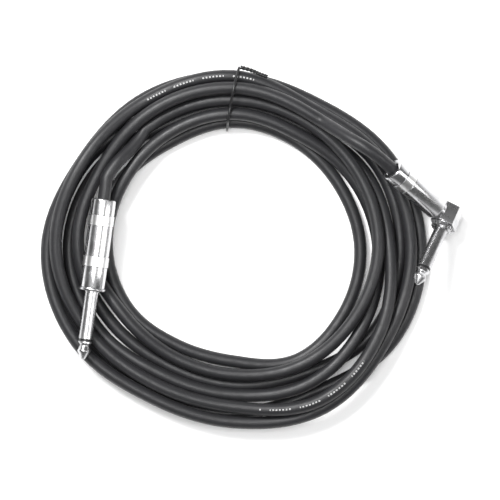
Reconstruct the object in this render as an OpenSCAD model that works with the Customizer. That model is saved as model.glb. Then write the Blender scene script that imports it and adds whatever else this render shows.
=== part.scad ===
// Instrument cable: a coiled cord with a straight 6.35 mm plug and a right-angle 6.35 mm plug.
// Millimetres, +Z up. The coil lies on z = 0 and the origin is below the middle of the whole lay.

/* [Coil] */
// Mean radius of the coil's turns
coil_r = 70; // [66:1:100]

/* [Cord] */
// Outer diameter of the cord's jacket
cord_d = 5.8; // [5.0:0.1:5.9]
// Diameter of the insulated inner conductor
core_d = 1.6; // [1.2:0.1:2.0]
// Diameter of the bare inner conductor
wire_d = 0.9; // [0.6:0.1:1.0]
// Diameter of the gathered shield strands
shield_d = 1.2; // [0.8:0.1:1.2]
// Length of shield left free past the jacket
shield_len = 4.5; // [3:0.5:8]

/* [Phone plug] */
// Diameter of the plug shaft
plug_d = 6.35; // [6.2:0.05:6.4]
// Length of the metal sleeve contact
sleeve_len = 21.6; // [18:0.2:24]
// Length of the black insulating ring
ring_len = 1.1; // [0.8:0.1:2]
// Length of the tip contact
tip_len = 8.3; // [7:0.1:10]
// Length of the cone at the end of the tip
cone_len = 3.6; // [3:0.1:4.2]
// Length of the narrow neck behind the ball
neck_len = 2.2; // [1.5:0.1:2.6]
// Diameter of the neck behind the ball
neck_d = 4.4; // [4:0.1:5]
// Diameter of the flat at the very end
nose_d = 1.6; // [1:0.1:2.4]
// Diameter of the rod that carries the tip
rod_d = 2.2; // [1.8:0.1:2.6]
// Diameter of the bore through the sleeve
sleeve_bore = 4.4; // [4:0.1:4.8]

/* [Straight plug] */
// Outer diameter of the shell
shell_d = 11.4; // [11.2:0.1:13]
// Length of the shell
shell_len = 41; // [38:0.5:50]
// Diameter of the bore inside the shell
shell_bore = 9.5; // [9.3:0.1:9.8]
// Thickness of the shell's rear wall
shell_back = 3; // [2:0.5:5]
// Start of the rear knurled band, from the rear
knurl_a_at = 7.6; // [5:0.2:12]
// Start of the front knurled band, from the rear
knurl_b_at = 26.5; // [22:0.5:30]
// Length of each knurled band
knurl_len = 4.6; // [3:0.2:7]
// How far a knurled band stands out
knurl_rise = 0.15; // [0.05:0.05:0.3]
// Diameter of the flange that the shell meets
flange_d = 12.2; // [11.8:0.1:14]
// Thickness of that flange
flange_t = 1.4; // [1:0.1:3]
// Diameter of the thin collar at the root of the shaft
collar_d = 7; // [6.6:0.1:8]
// Thickness of that collar
collar_t = 0.6; // [0.4:0.1:1.2]

/* [Angle plug] */
// Outer diameter of the barrel
barrel_d = 11; // [10.6:0.1:12]
// Length of the barrel
barrel_len = 31; // [29:0.5:36]
// Diameter of the bore inside the barrel
barrel_bore = 8.9; // [8.7:0.1:9.2]
// Thickness of the barrel's rear wall
barrel_back = 3; // [2:0.5:5]
// Start of the knurled band, from the rear
barrel_knurl_at = 6; // [4:0.5:10]
// Length of the knurled band
barrel_knurl_len = 5; // [3:0.2:7]
// Length of the bright collar between barrel and head
neck_collar_t = 1.7; // [1:0.1:3]
// Diameter of the bright collar
neck_collar_d = 9.8; // [9.5:0.1:10.4]
// Size of the hexagonal head across its flats
head_flats = 11; // [10.8:0.1:12]
// Height of the hexagonal head along the shaft
head_h = 10; // [9.5:0.1:12]
// Diameter of the toothed lock ring
lock_d = 10.3; // [9.8:0.1:10.8]
// Thickness of the lock ring
lock_t = 1.9; // [1.2:0.1:3]
// Number of teeth on the lock ring
lock_teeth = 20; // [12:1:28]
// Diameter of the bore for the plug inside the head
head_bore = 8.2; // [7.8:0.1:8.4]
// Thickness of the cap in the back of the head
cap_t = 1.2; // [0.8:0.1:1.6]

/* [Fits] */
// Length of thread that holds a shell
thread_len = 8; // [6:0.5:9]
// Radial clearance of a shell on its thread
thread_gap = 0.05; // [0.02:0.01:0.1]
// Radial clearance of a shell round the cord
cord_gap = 0.35; // [0.25:0.05:0.5]
// Radial clearance between a liner and its shell
liner_gap = 0.1; // [0.05:0.01:0.15]
// Wall of a liner
liner_wall = 0.3; // [0.2:0.05:0.35]
// Clearance of fixed pieces inside the plugs
seat_gap = 0.05; // [0.02:0.01:0.08]
// Length of straight cord behind the straight plug
straight_out = 10; // [8:0.5:12]
// Length of straight cord behind the angle plug
angle_out = 8; // [7.5:0.5:9]

/* [Tie] */
// Diameter of the twist tie
tie_d = 1.1; // [0.8:0.1:1.2]
// Diameter of its twisted ends
twist_d = 1.9; // [1.6:0.1:2.0]

/* [Hidden] */

$fn = 64;
cord_r = cord_d / 2;
eps = 0.01;
// Middle of the whole lay, seen from the middle of the coil
lay_mid = [8.68, 0.88, 0];
charcoal = "#2a2a2d";
nickel = "#b9bcc0";

// ---- the lay of the coil -------------------------------------------------
// One row for each turn, a [radius, height] every 30 degrees: 150, 120, 90 ... 180,
// drawn for a mean radius of drawn_r and grown with coil_r.
// The cord goes round clockwise. Heights step by about one cord where strands cross,
// and at 90 degrees the lowest strands are up by the tie that passes under them.
LAY = [
    [65.3, 13.2], [68.5, 8.8], [68.6, 10.7], [67.4, 10.2], [67.2, 10.9], [66.7, 12.5],
    [64.2, 12.0], [61.8, 8.8], [57.8, 7.2], [56.7, 7.3], [58.9, 9.4], [65.1, 2.9],
    [60.9, 2.9], [57.2, 2.9], [58.6, 4.3], [57.6, 2.9], [57.2, 2.9], [58.7, 2.9],
    [59.1, 2.9], [59.0, 2.9], [51.8, 2.9], [51.3, 2.9], [55.6, 2.9], [58.2, 3.8],
    [59.1, 9.5], [60.9, 8.4], [62.2, 10.4], [60.6, 9.5], [64.1, 4.3], [67.1, 2.9],
    [69.4, 8.5], [71.1, 9.2], [67.2, 7.4], [66.6, 7.2], [72.4, 2.9], [75.7, 2.9],
    [72.3, 2.9], [65.3, 2.9], [65.4, 4.3], [64.6, 2.9], [70.4, 2.9], [72.2, 8.9],
    [77.6, 13.8], [80.2, 14.0], [72.5, 11.4], [71.7, 11.5], [76.5, 9.8], [81.4, 14.1],
    [79.8, 16.9], [79.0, 9.4], [79.4, 11.3], [74.1, 9.0], [79.6, 8.9], [82.0, 7.5],
    [81.8, 9.1], [84.2, 9.2], [79.6, 8.5], [78.0, 9.2], [83.8, 9.3], [85.6, 8.5],
    [80.2, 10.6], [80.6, 2.9], [79.0, 4.3], [77.4, 2.9], [83.3, 2.9], [86.6, 2.9],
    [84.9, 2.9], [76.0, 2.9], [75.8, 2.9], [76.6, 2.9], [82.3, 2.9], [82.2, 2.9],
    [79.0, 2.9], [72.0, 2.9], [72.1, 4.3], [70.9, 2.9], [76.8, 2.9], [77.2, 2.9],
    [75.3, 2.9], [66.2, 2.9], [62.6, 2.9], [61.5, 2.9], [65.7, 2.9], [71.4, 8.1],
    [71.1, 9.6], [73.6, 13.4], [74.0, 15.2], [71.2, 17.6]
];
drawn_r = 70;
grow = coil_r - drawn_r;
floor_z = 2.9;
lay_top = 150;
lay_step = 30;
rings_per_step = 2;
coil_rings = (len(LAY) - 2) * rings_per_step;

// Routes of the free stretches between the coil and the plugs, [x, y, z] from the coil's middle
STRAIGHT_ROUTE = [[-53.0, 39.8, 15.4], [-47.6, 45.3, 12.6], [-42.8, 51.0, 10.2]];
ANGLE_ROUTE = [[46.4, 54.9, 22.5], [53.0, 50.6, 27.8], [60.4, 46.2, 31.3]];

// The tie's loop round the strands, [radius, height], and its twisted ends, [x, y, z] from
// the loop's last bend, with z from the table
TIE_LOOP = [
    [83.6, 9.0], [83.6, 5.5], [83.0, 2.6], [81.2, 1.0], [76.0, 0.7], [68.0, 0.7], [60.0, 0.7],
    [56.4, 1.2], [54.8, 3.4], [55.2, 6.6], [57.4, 10.4], [59.0, 13.2], [62.3, 14.5], [66.0, 14.9],
    [69.6, 18.0], [73.4, 19.3], [77.2, 18.0], [80.9, 15.3], [83.2, 13.2]
];
TIE_ENDS = [[0.99, 0.24, 13.4], [5.79, -1.16, 13.6], [9.69, -2.86, 13.9], [12.79, -3.96, 13.6]];
tie_near = 88;
tie_far = 93;
tie_outer = 84;
tie_across = 30;

function unit(v) = v / norm(v);
// Catmull-Rom value between entries i and i + 1 of a list
function at(v, i) = v[min(max(i, 0), len(v) - 1)];
function blend(v, i, f) =
    at(v, i) + 0.5 * f * (at(v, i + 1) - at(v, i - 1)
    + f * (2 * at(v, i - 1) - 5 * at(v, i) + 4 * at(v, i + 1) - at(v, i + 2)
    + f * (3 * (at(v, i) - at(v, i + 1)) + at(v, i + 2) - at(v, i - 1))));
function polar(r, deg, z) = [r * cos(deg), r * sin(deg), z];
// A place moved outwards with the coil
function out(p) = p + grow * unit([p[0], p[1], 0]);
// A point of the coil's centre line, u steps along the lay
function lay_at(u) =
    let (i = min(floor(u), len(LAY) - 2), p = blend(LAY, i, u - i))
    polar(p[0] + grow, lay_top - lay_step * u, max(p[1], floor_z));
coil_mid = [for (k = [0 : coil_rings]) lay_at(1 + k / rings_per_step)];
coil_t0 = unit(lay_at(1.1) - lay_at(1));
coil_t1 = unit(lay_at(len(LAY) - 1) - lay_at(len(LAY) - 1.1));
coil_first = coil_mid[0] - cord_d * coil_t0;
coil_last = coil_mid[coil_rings] + cord_d * coil_t1;
coil_line = concat([coil_first], coil_mid, [coil_last]);

// Tangents along an open line, with given ends
function tangents(p, t0, t1) = [
    for (k = [0 : len(p) - 1])
        k == 0 ? t0 : k == len(p) - 1 ? t1 : unit(unit(p[k + 1] - p[k]) + unit(p[k] - p[k - 1]))
];
// One ring of a level section. Strands on the floor get a flat foot that reaches it.
function foot(z) = cord_r * (0.866 + 0.134 * min(max(cord_r + 1 - z, 0), 1));
function coil_ring(c, t) =
    let (side = unit(cross(t, [0, 0, 1])), up = cross(side, t))
    [for (a = [0 : 60 : 300])
        let (s = sin(a), drop = s < -0.1 ? -foot(c[2]) : s * cord_r)
        c + side * (cos(a) * cord_r) + up * drop];
function round_ring(c, t, r, n) =
    let (side = unit(cross(t, [0, 0, 1])), up = cross(side, t))
    [for (k = [0 : n - 1])
        let (a = 360 * (k + 0.5) / n) c + side * (r * cos(a)) + up * (r * sin(a))];
function flat(v) = [for (a = v) for (b = a) b];

// Skin of a tube from its rings, as triangles
module skin(rings, closed = false) {
    n = len(rings[0]);
    m = len(rings);
    last = closed ? m - 1 : m - 2;
    sides = [
        for (k = [0 : last]) for (j = [0 : n - 1])
            let (a = k * n + j, b = k * n + (j + 1) % n, c = ((k + 1) % m) * n + j,
                 d = ((k + 1) % m) * n + (j + 1) % n)
            for (f = [[a, c, b], [b, c, d]]) f
    ];
    ends = closed ? [] : concat(
        [for (j = [1 : n - 2]) [0, j, j + 1]],
        [for (j = [1 : n - 2]) [(m - 1) * n, (m - 1) * n + j + 1, (m - 1) * n + j]]
    );
    polyhedron(flat(rings), concat(sides, ends), convexity = 10);
}

coil_tan = tangents(coil_line, coil_t0, coil_t1);
coil_rings_pts = [for (k = [0 : len(coil_line) - 1]) coil_ring(coil_line[k], coil_tan[k])];

// Least gap of the coil to itself, from ring points to ring points half a turn or more away
half_turn = 12;
function pair_gap(a, b) = min([for (p = a) for (q = b) norm(p - q)]);
coil_gaps = [
    for (i = [0 : len(coil_line) - 1 - half_turn])
        for (j = [i + half_turn : len(coil_line) - 1])
            if (norm(coil_line[i] - coil_line[j]) < 2 * cord_d)
                pair_gap(coil_rings_pts[i], coil_rings_pts[j])
];
// The same with both centre lines cut fine and the full round section
fine = [for (u = [1 : 0.1 : len(LAY) - 1]) lay_at(u)];
fine_gaps = [
    for (i = [0 : len(fine) - 60])
        for (j = [i + 60 : len(fine) - 1])
            if (abs(fine[i][0] - fine[j][0]) < 7 && abs(fine[i][1] - fine[j][1]) < 7)
                norm(fine[i] - fine[j]) - cord_d
];
coil_len = len(coil_line) < 2 ? 0 : [for (k = [1 : len(coil_line) - 1])
    norm(coil_line[k] - coil_line[k - 1])] * [for (k = [1 : len(coil_line) - 1]) 1];
union() {  // cord_coil
    echo(least_gap_on_points = min(coil_gaps), least_gap_round = min(fine_gaps));
    echo(coil_length = coil_len);
}

// ---- places of the two plugs -----------------------------------------------
straight_rear = out([-59.2, 22.8, 16.5]);
straight_yaw = -97.5;
angle_rear = out([72.9, 36.5, 25.5]);
angle_yaw = -40.5;
angle_pitch = 118.5;
angle_roll = 150;
straight_dir = [cos(straight_yaw), sin(straight_yaw), 0];
angle_dir = [sin(angle_pitch) * cos(angle_yaw), sin(angle_pitch) * sin(angle_yaw), cos(angle_pitch)];

module lay() { translate(-lay_mid) children(); }
module at_straight() { lay() translate(straight_rear) rotate([0, 90, straight_yaw]) children(); }
module at_angle() {
    lay() translate(angle_rear) rotate([0, angle_pitch, angle_yaw]) rotate([0, 0, angle_roll])
        children();
}
// From the barrel's axis to the shaft's axis, at the middle of the head
module at_shaft() { at_angle() translate([0, 0, head_mid]) rotate([-90, 0, 0]) children(); }

// ---- the cord ----------------------------------------------------------------
module cord_coil() {
    color(charcoal) lay() skin(coil_rings_pts);
}
module lead(points, t0, t1, r) {
    cuts = 2;
    line = [for (k = [0 : (len(points) - 1) * cuts])
        let (i = min(floor(k / cuts), len(points) - 2)) blend(points, i, k / cuts - i)];
    tan = tangents(line, t0, t1);
    skin([for (k = [0 : len(line) - 1]) round_ring(line[k], tan[k], r, 8)]);
}
module straight_lead() {
    start = straight_rear - straight_out * straight_dir;
    color(charcoal) lay()
        lead(concat([start], [for (p = STRAIGHT_ROUTE) out(p)], [coil_first]),
            -straight_dir, coil_t0, cord_r);
}
module angle_lead() {
    stop = angle_rear - angle_out * angle_dir;
    color(charcoal) lay()
        lead(concat([coil_last], [for (p = ANGLE_ROUTE) out(p)], [stop]),
            coil_t1, angle_dir, cord_r);
}

// ---- the tie -------------------------------------------------------------------
function tie_deg(r) = tie_near + (tie_far - tie_near) * (tie_outer - r) / tie_across;
function wrap(v, k) = v[(k + len(v)) % len(v)];
module twist_tie() {
    line = [for (p = TIE_LOOP) polar(p[0] + grow, tie_deg(p[0]), p[1])];
    n = len(line);
    across = [1, 0.05, 0];
    rings = [for (k = [0 : n - 1])
        let (t = unit(wrap(line, k + 1) - wrap(line, k - 1)),
             w = unit(across - (across * t) * t), up = cross(t, w))
        [for (a = [22.5 : 45 : 360]) line[k] + tie_d / 2 * (w * cos(a) + up * sin(a))]];
    color("#141415") lay() skin(rings, closed = true);
}
module tie_ends() {
    bend_r = wrap(TIE_LOOP, -1)[0];
    knot = polar(bend_r + grow, tie_deg(bend_r), 0);
    route = [for (p = TIE_ENDS) knot + p];
    t0 = unit(route[1] - route[0]);
    t1 = unit(route[3] - route[2]);
    color("#141415") lay() lead(route, t0, t1, twist_d / 2);
}

// ---- pieces that both plugs share, shaft along +Z ---------------------------------
rod_r = rod_d / 2;
insul_r = sleeve_bore / 2 - seat_gap;
tip_ball_d = plug_d - 0.35;
land_len = 0.9;
module tip_shape(root, back) {
    base = root + sleeve_len + ring_len;
    rotate_extrude() polygon([
        [0, back], [rod_r, back], [rod_r, base], [plug_d / 2, base],
        [plug_d / 2, base + land_len], [neck_d / 2, base + land_len + 0.6],
        [neck_d / 2, base + neck_len], [tip_ball_d / 2, base + tip_len - cone_len - 0.7],
        [tip_ball_d / 2, base + tip_len - cone_len], [nose_d / 2, base + tip_len],
        [0, base + tip_len]
    ]);
}
module ring_shape(root, back) {
    top = root + sleeve_len + ring_len;
    rotate_extrude() polygon([
        [rod_r + seat_gap, back], [insul_r, back], [insul_r, root + sleeve_len],
        [plug_d / 2, root + sleeve_len], [plug_d / 2, top], [rod_r + seat_gap, top]
    ]);
}
module back_disc(z, r) {
    translate([0, 0, z]) difference() {
        cylinder(h = disc_t, r = r);
        translate([0, 0, -1]) cylinder(h = disc_t + 2, r = rod_r + seat_gap);
    }
}
module tube_z(z0, z1, ro, ri) {
    translate([0, 0, z0]) difference() {
        cylinder(h = z1 - z0, r = ro);
        translate([0, 0, -1]) cylinder(h = z1 - z0 + 2, r = ri);
    }
}
disc_t = 1.2;
lug_t = 0.5;
lug_r = 2.4;
strip_t = 0.6;
clamp_len = 4;
clamp_wall = 0.5;
jacket_in = 13.5;
tab_len = 6.8;

// A shell: plain tube, rear wall with the cord's hole, knurled bands that stand out a little
module shell_shape(d, len_, bore, back, bands, band_len) {
    r = d / 2;
    edge = 0.6;
    difference() {
        union() {
            rotate_extrude() polygon([
                [0, 0], [r - edge, 0], [r, edge], [r, len_ - 0.3], [r - 0.3, len_], [0, len_]
            ]);
            for (z = bands) translate([0, 0, z]) cylinder(h = band_len, r = r + knurl_rise);
        }
        translate([0, 0, back]) cylinder(h = len_, r = bore / 2);
        translate([0, 0, -1]) cylinder(h = back + 2, r = cord_r + cord_gap);
    }
}
band_r = cord_r + seat_gap + clamp_wall;
// How far out the strip reaches: inside the liner, and into the band
function strip_reach(bore) = min(bore / 2 - liner_gap - liner_wall - 0.3, band_r + strip_t - 0.1);
// A strip along the bore that ends in an open band round the jacket
module clamp_shape(z0, z1, bore) {
    translate([-1, -strip_reach(bore), z0]) cube([2, strip_t, z1 - z0]);
    difference() {
        tube_z(z0, z0 + clamp_len, band_r, cord_r + seat_gap);
        translate([-1.6, 0, z0 - 1]) cube([3.2, 2 * band_r, clamp_len + 2]);
    }
}

// ---- straight plug, z = 0 at the rear of the shell -----------------------------------
spigot_back = shell_len - thread_len;
shaft_root = shell_len + flange_t + collar_t;
spigot_r = shell_bore / 2 - thread_gap;
lug_z = spigot_back - disc_t - lug_t;
module straight_shell() {
    color(nickel) at_straight()
        shell_shape(shell_d, shell_len, shell_bore, shell_back, [knurl_a_at, knurl_b_at], knurl_len);
}
module straight_liner() {
    ro = shell_bore / 2 - liner_gap;
    color("#e8e8e6") at_straight()
        tube_z(shell_back + 0.1, spigot_back - 0.4, ro, ro - liner_wall);
}
module straight_sleeve() {
    color(nickel) at_straight() difference() {
        union() {
            translate([0, 0, spigot_back]) cylinder(h = thread_len + eps, r = spigot_r);
            rotate_extrude() polygon([
                [0, shell_len], [flange_d / 2 - 0.4, shell_len], [flange_d / 2, shell_len + 0.4],
                [flange_d / 2, shell_len + flange_t - 0.4],
                [flange_d / 2 - 0.4, shell_len + flange_t], [0, shell_len + flange_t]
            ]);
            translate([0, 0, shell_len + flange_t - eps]) cylinder(h = collar_t + eps, r = collar_d / 2);
            translate([0, 0, shaft_root - eps]) cylinder(h = sleeve_len + eps, r = plug_d / 2);
        }
        translate([0, 0, spigot_back - 1])
            cylinder(h = shaft_root + sleeve_len - spigot_back + 2, r = sleeve_bore / 2);
    }
}
module straight_ring() {
    color("#17171a") at_straight() ring_shape(shaft_root, spigot_back);
}
module straight_tip() {
    color(nickel) at_straight() tip_shape(shaft_root, lug_z - 0.6);
}
module straight_back_insulator() {
    color("#d9d6cc") at_straight() back_disc(spigot_back - disc_t, lug_r + 0.6);
}
module lug_shape(z, tab) {
    tube_z(z, z + lug_t, lug_r, rod_r + seat_gap);
    translate([-0.9, rod_r + 0.1, z - tab]) cube([1.8, 0.5, tab + lug_t / 2]);
}
module straight_tip_lug() {
    color("#c9b98a") at_straight() lug_shape(lug_z, tab_len);
}
module straight_clamp() {
    color("#c9b98a") at_straight() clamp_shape(jacket_in - clamp_len - 0.5, spigot_back, shell_bore);
}
wire_y = rod_r + 0.1 - wire_d / 2;
core_stop = lug_z - tab_len - 0.5;
module straight_jacket_end() {
    color(charcoal) at_straight() translate([0, 0, -straight_out])
        cylinder(h = straight_out + jacket_in, r = cord_r);
}
module straight_core_end() {
    color("#e9e4d8") at_straight() translate([0, wire_y / 2, jacket_in])
        cylinder(h = core_stop - jacket_in, r = core_d / 2);
}
module straight_wire_end() {
    color("#c77b3f") at_straight() translate([0, wire_y, core_stop])
        cylinder(h = lug_z - core_stop - 1.5, r = wire_d / 2);
}
// The gathered shield lies against the strip's inner face
module shield_shape(bore) {
    translate([0, strip_t + shield_d / 2 - strip_reach(bore), jacket_in])
        cylinder(h = shield_len, r = shield_d / 2);
}
module straight_shield_end() {
    color("#c77b3f") at_straight() shield_shape(shell_bore);
}

// ---- angle plug, z = 0 at the rear of the barrel ----------------------------------------
head_mid = barrel_len + neck_collar_t + head_flats / 2;
neck_r = barrel_bore / 2 - thread_gap;
neck_bore = 3.4;
neck_back = barrel_len - thread_len;
module angle_barrel() {
    color(nickel) at_angle() shell_shape(barrel_d, barrel_len, barrel_bore, barrel_back,
        [barrel_knurl_at], barrel_knurl_len);
}
module angle_liner() {
    ro = barrel_bore / 2 - liner_gap;
    color("#e8e8e6") at_angle() tube_z(barrel_back + 0.1, neck_back - 0.4, ro, ro - liner_wall);
}
module hex_block() {
    corner = head_flats / cos(30) / 2;
    cut = corner - 0.4;
    intersection() {
        rotate([-90, 0, 0]) translate([0, 0, -head_h / 2])
            cylinder(h = head_h, r = corner, $fn = 6);
        rotate([-90, 0, 0]) rotate_extrude() polygon([
            [0, -head_h / 2], [cut, -head_h / 2], [corner + 0.1, -head_h / 2 + 0.6],
            [corner + 0.1, head_h / 2 - 0.6], [cut, head_h / 2], [0, head_h / 2]
        ]);
    }
}
module angle_head() {
    color(nickel) at_angle() difference() {
        union() {
            translate([0, 0, head_mid]) hex_block();
            translate([0, 0, barrel_len]) cylinder(h = neck_collar_t + 1, r = neck_collar_d / 2);
            translate([0, 0, neck_back]) cylinder(h = thread_len + 1, r = neck_r);
        }
        translate([0, 0, neck_back - 1]) cylinder(h = head_mid - neck_back + 1, r = neck_bore);
        translate([0, 0, head_mid]) rotate([-90, 0, 0]) translate([0, 0, -head_h])
            cylinder(h = 2 * head_h, r = head_bore / 2);
    }
}
plug_seat = 3.6;
insul_z = head_h / 2 - plug_seat - disc_t;
angle_lug_z = insul_z - lug_t;
shaft_at = head_h / 2 + lock_t;
boss_r = plug_d / 2 + 0.6;
module angle_cap() {
    color(nickel) at_shaft() translate([0, 0, -head_h / 2]) difference() {
        cylinder(h = cap_t, r = head_bore / 2 - seat_gap);
        translate([-head_bore / 2, -0.5, -1]) cube([head_bore, 1, 1.5]);
    }
}
module angle_lock_ring() {
    r = lock_d / 2;
    color(nickel) at_shaft() translate([0, 0, head_h / 2]) difference() {
        cylinder(h = lock_t, r = r);
        translate([0, 0, -1]) cylinder(h = lock_t + 2, r = boss_r + seat_gap);
        for (a = [0 : 360 / lock_teeth : 359]) rotate([0, 0, a])
            translate([r + 0.15, 0, -1]) cylinder(h = lock_t + 2, r = 0.45);
    }
}
module angle_sleeve() {
    color(nickel) at_shaft() difference() {
        union() {
            translate([0, 0, head_h / 2 - plug_seat])
                cylinder(h = plug_seat, r = head_bore / 2 - seat_gap);
            translate([0, 0, head_h / 2 - eps]) cylinder(h = lock_t + eps, r = boss_r);
            translate([0, 0, head_h / 2]) cylinder(h = lock_t + sleeve_len, r = plug_d / 2);
        }
        translate([0, 0, -1]) cylinder(h = head_h + sleeve_len + 5, r = sleeve_bore / 2);
    }
}
module angle_ring() {
    color("#17171a") at_shaft() ring_shape(shaft_at, head_h / 2 - plug_seat);
}
module angle_tip() {
    color(nickel) at_shaft() tip_shape(shaft_at, angle_lug_z - 0.6);
}
module angle_back_insulator() {
    color("#d9d6cc") at_shaft() back_disc(insul_z, lug_r + 0.6);
}
tab_y = angle_lug_z;
module angle_tip_lug() {
    color("#c9b98a") {
        at_shaft() tube_z(angle_lug_z, angle_lug_z + lug_t, lug_r, rod_r + seat_gap);
        at_angle() translate([-0.9, tab_y, angle_core_stop + 0.5])
            cube([1.8, lug_t, head_mid - angle_core_stop - 0.5 - rod_r - 0.4]);
    }
}
module angle_clamp() {
    color("#c9b98a") at_angle() clamp_shape(jacket_in - clamp_len - 0.5, neck_back, barrel_bore);
}
angle_tab_len = 10.7;
angle_core_stop = head_mid - angle_tab_len - 0.5;
angle_wire_y = tab_y - wire_d / 2;
module angle_jacket_end() {
    color(charcoal) at_angle() translate([0, 0, -angle_out])
        cylinder(h = angle_out + jacket_in, r = cord_r);
}
module angle_core_end() {
    color("#e9e4d8") at_angle() translate([0, angle_wire_y / 2, jacket_in])
        cylinder(h = angle_core_stop - jacket_in, r = core_d / 2);
}
module angle_wire_end() {
    color("#c77b3f") at_angle() translate([0, angle_wire_y, angle_core_stop])
        cylinder(h = 4.5, r = wire_d / 2);
}
module angle_shield_end() {
    color("#c77b3f") at_angle() shield_shape(barrel_bore);
}

cord_coil();
straight_lead();
angle_lead();
twist_tie();
tie_ends();
straight_jacket_end();
straight_core_end();
straight_wire_end();
straight_shield_end();
straight_shell();
straight_liner();
straight_sleeve();
straight_ring();
straight_tip();
straight_back_insulator();
straight_tip_lug();
straight_clamp();
angle_jacket_end();
angle_core_end();
angle_wire_end();
angle_shield_end();
angle_barrel();
angle_liner();
angle_head();
angle_cap();
angle_lock_ring();
angle_sleeve();
angle_ring();
angle_tip();
angle_back_insulator();
angle_tip_lug();
angle_clamp();
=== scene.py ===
"""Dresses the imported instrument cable: cord, tie, straight plug, angle plug, plain studio."""

import logging
import math
from dataclasses import dataclass, field
from enum import Enum

import bmesh
import bpy
from mathutils import Matrix, Vector


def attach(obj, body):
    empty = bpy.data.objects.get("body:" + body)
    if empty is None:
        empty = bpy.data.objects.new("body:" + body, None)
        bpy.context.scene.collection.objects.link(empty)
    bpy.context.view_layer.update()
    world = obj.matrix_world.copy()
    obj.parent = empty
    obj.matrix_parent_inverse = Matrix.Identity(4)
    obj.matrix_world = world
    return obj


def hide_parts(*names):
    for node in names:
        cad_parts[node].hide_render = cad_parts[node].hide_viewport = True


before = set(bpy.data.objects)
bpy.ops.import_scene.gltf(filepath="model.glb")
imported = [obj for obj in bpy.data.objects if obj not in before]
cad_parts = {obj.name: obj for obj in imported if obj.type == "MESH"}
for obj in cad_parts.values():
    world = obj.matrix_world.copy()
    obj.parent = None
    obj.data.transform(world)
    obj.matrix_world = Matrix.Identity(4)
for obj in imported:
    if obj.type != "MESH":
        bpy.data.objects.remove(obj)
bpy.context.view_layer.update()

MM = 0.001
# Radius, in millimetres, that stands for a point on the axis while a profile is turned
POINT_R = 0.001
# Points closer than this, in metres, are merged in open and in closed profiles
OPEN_MERGE = 0.000004
CLOSED_MERGE = 0.000002
# Slack, in millimetres, for telling which points lie in a band
TOUCH = 0.01
LOG = logging.getLogger("instrument_cable")

# ---- places, in millimetres from the middle of the coil ---------------------------
LAY_MID = Vector((8.68, 0.88, 0.0))
CORD_R = 2.9
LAY_TOP = 150.0
LAY_STEP = 30.0
# The cord's lay: a (radius, height) every 30 degrees, clockwise from 150 degrees.
LAY = (
    (65.3, 13.2), (68.5, 8.8), (68.6, 10.7), (67.4, 10.2), (67.2, 10.9), (66.7, 12.5),
    (64.2, 12.0), (61.8, 8.8), (57.8, 7.2), (56.7, 7.3), (58.9, 9.4), (65.1, 2.9),
    (60.9, 2.9), (57.2, 2.9), (58.6, 4.3), (57.6, 2.9), (57.2, 2.9), (58.7, 2.9),
    (59.1, 2.9), (59.0, 2.9), (51.8, 2.9), (51.3, 2.9), (55.6, 2.9), (58.2, 3.8),
    (59.1, 9.5), (60.9, 8.4), (62.2, 10.4), (60.6, 9.5), (64.1, 4.3), (67.1, 2.9),
    (69.4, 8.5), (71.1, 9.2), (67.2, 7.4), (66.6, 7.2), (72.4, 2.9), (75.7, 2.9),
    (72.3, 2.9), (65.3, 2.9), (65.4, 4.3), (64.6, 2.9), (70.4, 2.9), (72.2, 8.9),
    (77.6, 13.8), (80.2, 14.0), (72.5, 11.4), (71.7, 11.5), (76.5, 9.8), (81.4, 14.1),
    (79.8, 16.9), (79.0, 9.4), (79.4, 11.3), (74.1, 9.0), (79.6, 8.9), (82.0, 7.5),
    (81.8, 9.1), (84.2, 9.2), (79.6, 8.5), (78.0, 9.2), (83.8, 9.3), (85.6, 8.5),
    (80.2, 10.6), (80.6, 2.9), (79.0, 4.3), (77.4, 2.9), (83.3, 2.9), (86.6, 2.9),
    (84.9, 2.9), (76.0, 2.9), (75.8, 2.9), (76.6, 2.9), (82.3, 2.9), (82.2, 2.9),
    (79.0, 2.9), (72.0, 2.9), (72.1, 4.3), (70.9, 2.9), (76.8, 2.9), (77.2, 2.9),
    (75.3, 2.9), (66.2, 2.9), (62.6, 2.9), (61.5, 2.9), (65.7, 2.9), (71.4, 8.1),
    (71.1, 9.6), (73.6, 13.4), (74.0, 15.2), (71.2, 17.6),
)
STRAIGHT_ROUTE = ((-53.0, 39.8, 15.4), (-47.6, 45.3, 12.6), (-42.8, 51.0, 10.2))
ANGLE_ROUTE = ((46.4, 54.9, 22.5), (53.0, 50.6, 27.8), (60.4, 46.2, 31.3))
# The tie's loop round the strands, (radius, height), and the line of its twisted ends.
TIE_LOOP = (
    (83.6, 9.0), (83.6, 5.5), (83.0, 2.6), (81.2, 1.0), (76.0, 0.7), (68.0, 0.7), (60.0, 0.7),
    (56.4, 1.2), (54.8, 3.4), (55.2, 6.6), (57.4, 10.4), (59.0, 13.2), (62.3, 14.5), (66.0, 14.9),
    (69.6, 18.0), (73.4, 19.3), (77.2, 18.0), (80.9, 15.3), (83.2, 13.2),
)
TIE_ENDS = ((3.7, 83.4, 13.4), (8.5, 82.0, 13.6), (12.4, 80.3, 13.9), (15.5, 79.2, 13.6))


# ---- small tools ------------------------------------------------------------------
def blend(points: list[Vector], index: int, share: float) -> Vector:
    """A smooth value between two entries of a list.

    Args:
        points: the entries, as vectors.
        index: the entry before the value.
        share: how far towards the next entry, 0 to 1.

    Returns:
        The value on a Catmull-Rom curve through the entries.
    """
    last = len(points) - 1
    a, b, c, d = (points[min(max(index + k, 0), last)] for k in (-1, 0, 1, 2))
    slope = c - a
    bend = 2 * a - 5 * b + 4 * c - d
    twist = 3 * (b - c) + d - a
    return b + 0.5 * share * (slope + share * (bend + share * twist))


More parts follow.
